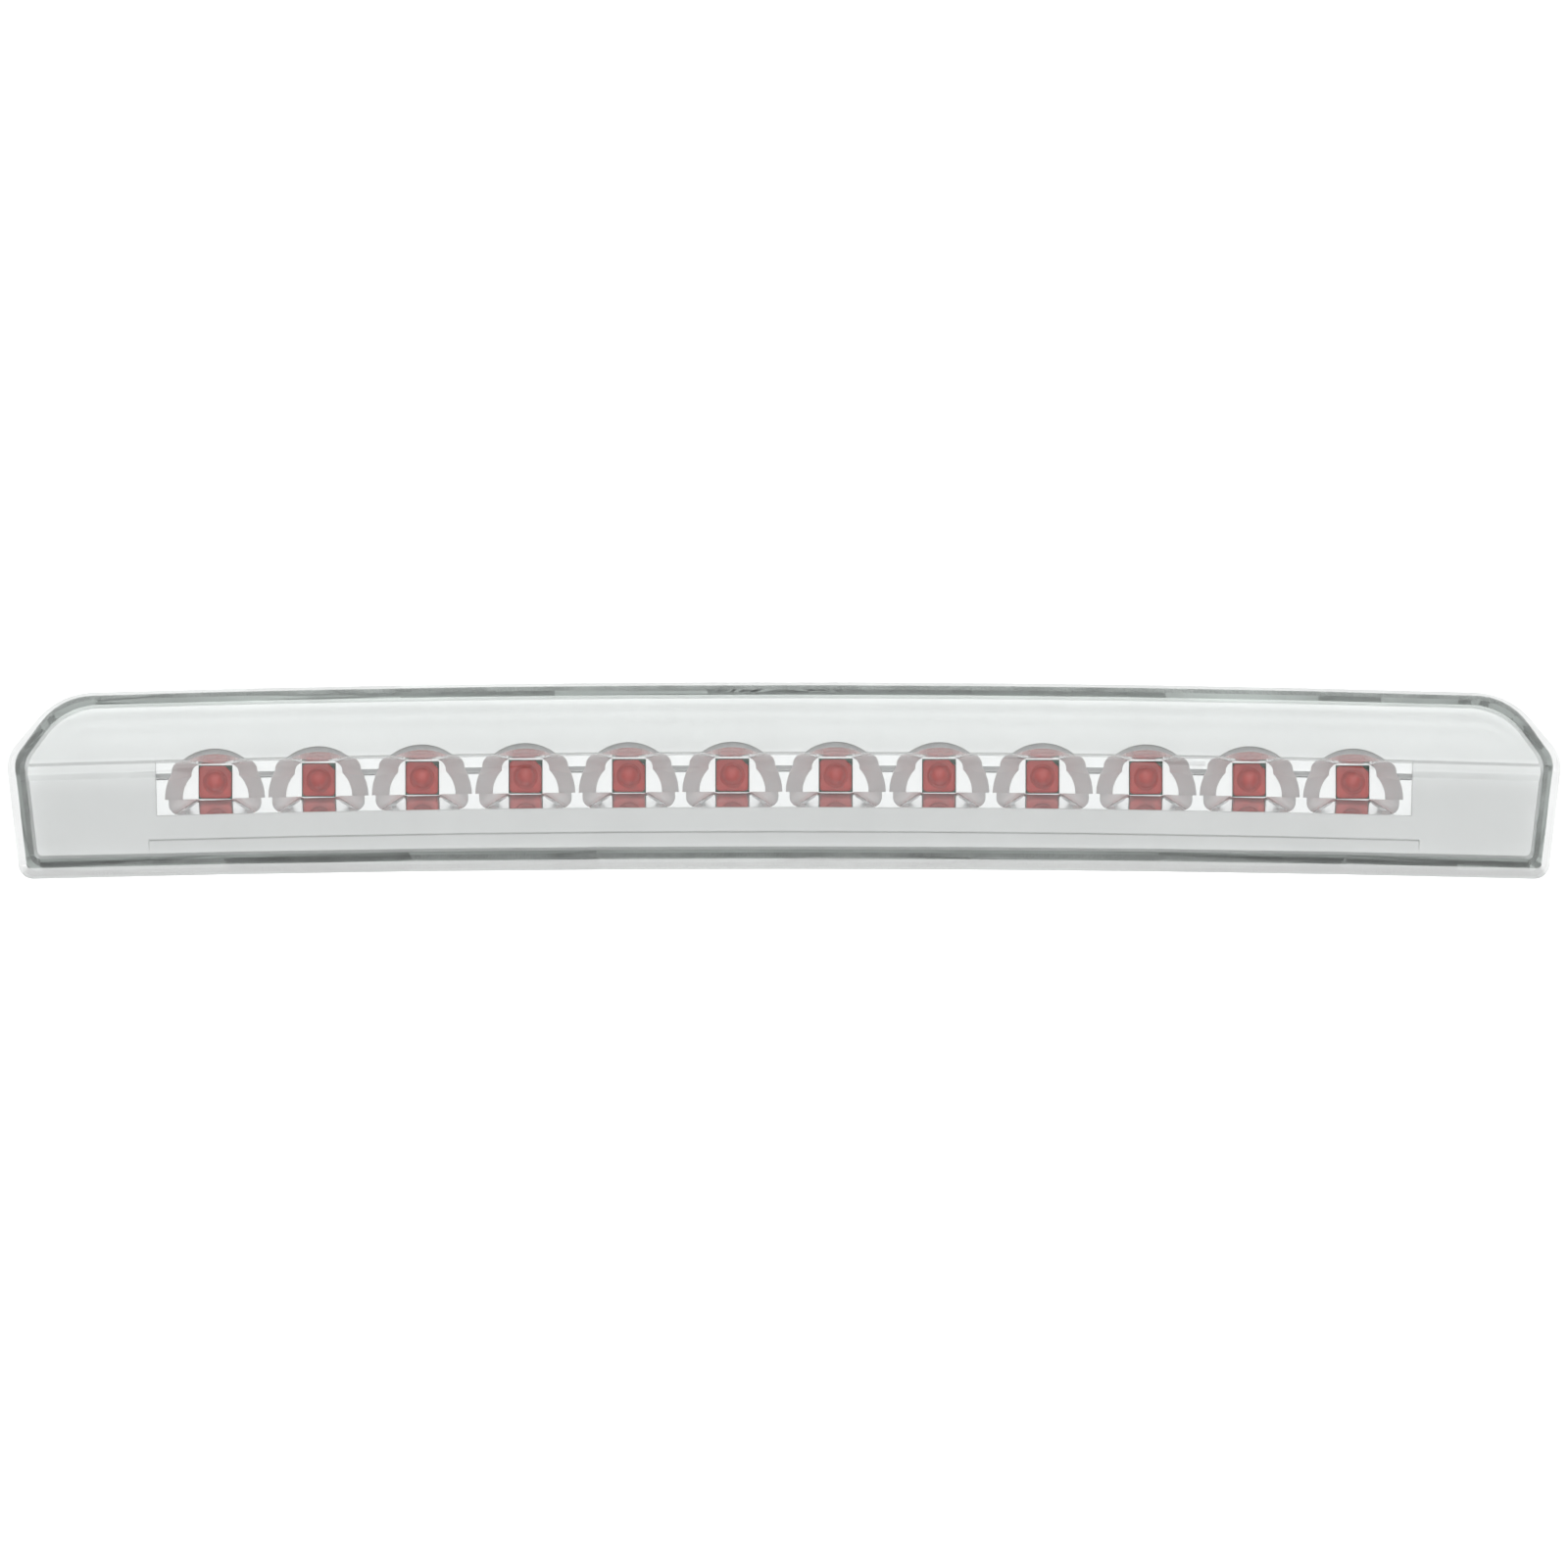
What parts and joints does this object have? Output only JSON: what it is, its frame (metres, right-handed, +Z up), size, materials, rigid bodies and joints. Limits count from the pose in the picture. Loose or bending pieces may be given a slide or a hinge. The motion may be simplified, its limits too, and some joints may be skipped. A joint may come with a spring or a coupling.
{
  "type": "third brake light",
  "caption": "Long, slightly arched high-mounted stop lamp: clear lens over a silver trim and mirrored cups with red lamps, sealed rear housing with two studs and a socket.",
  "frame": {"origin": "middle of the two-stud pattern, on the plane of the body panel that the rear gasket rests on", "axes": "+X to the right seen from the front, -Y out of the front of the lens, +Z up"},
  "size_m": [0.3672, 0.039, 0.0465],
  "materials": {
    "clear_lens": "polished",
    "silver_trim": "satin",
    "mirror_coat": "polished",
    "red_lamp": "gloss",
    "grey_housing": "matte",
    "black_plastic": "matte",
    "seal_compound": "matte",
    "seal_rubber": "matte",
    "board_laminate": "satin",
    "chip_ceramic": "satin",
    "tinned_metal": "satin",
    "zinc_steel": "satin",
    "membrane_fabric": "matte"
  },
  "bodies": {
    "root": {"outer_lens": "clear_lens", "lens_seal_bead": "seal_compound", "rear_housing": "grey_housing", "inner_bezel": "silver_trim", "reflector_strip": "mirror_coat", "circuit_board": "board_laminate", "led_leads": "tinned_metal", "resistors": "chip_ceramic", "protection_diode": "chip_ceramic", "capacitor": "chip_ceramic", "connector_socket": "black_plastic", "socket_seal": "seal_rubber", "terminal_positive": "tinned_metal", "terminal_negative": "tinned_metal", "body_gasket": "seal_rubber", "mounting_stud_left": "zinc_steel", "mounting_stud_right": "zinc_steel", "stud_seal_washers": "seal_rubber", "board_screws": "zinc_steel", "bezel_screws": "zinc_steel", "vent_membrane": "membrane_fabric", "vent_cap": "black_plastic", "led_01": "red_lamp", "led_02": "red_lamp", "led_03": "red_lamp", "led_04": "red_lamp", "led_05": "red_lamp", "led_06": "red_lamp", "led_07": "red_lamp", "led_08": "red_lamp", "led_09": "red_lamp", "led_10": "red_lamp", "led_11": "red_lamp", "led_12": "red_lamp"}
  },
  "joints": []
}
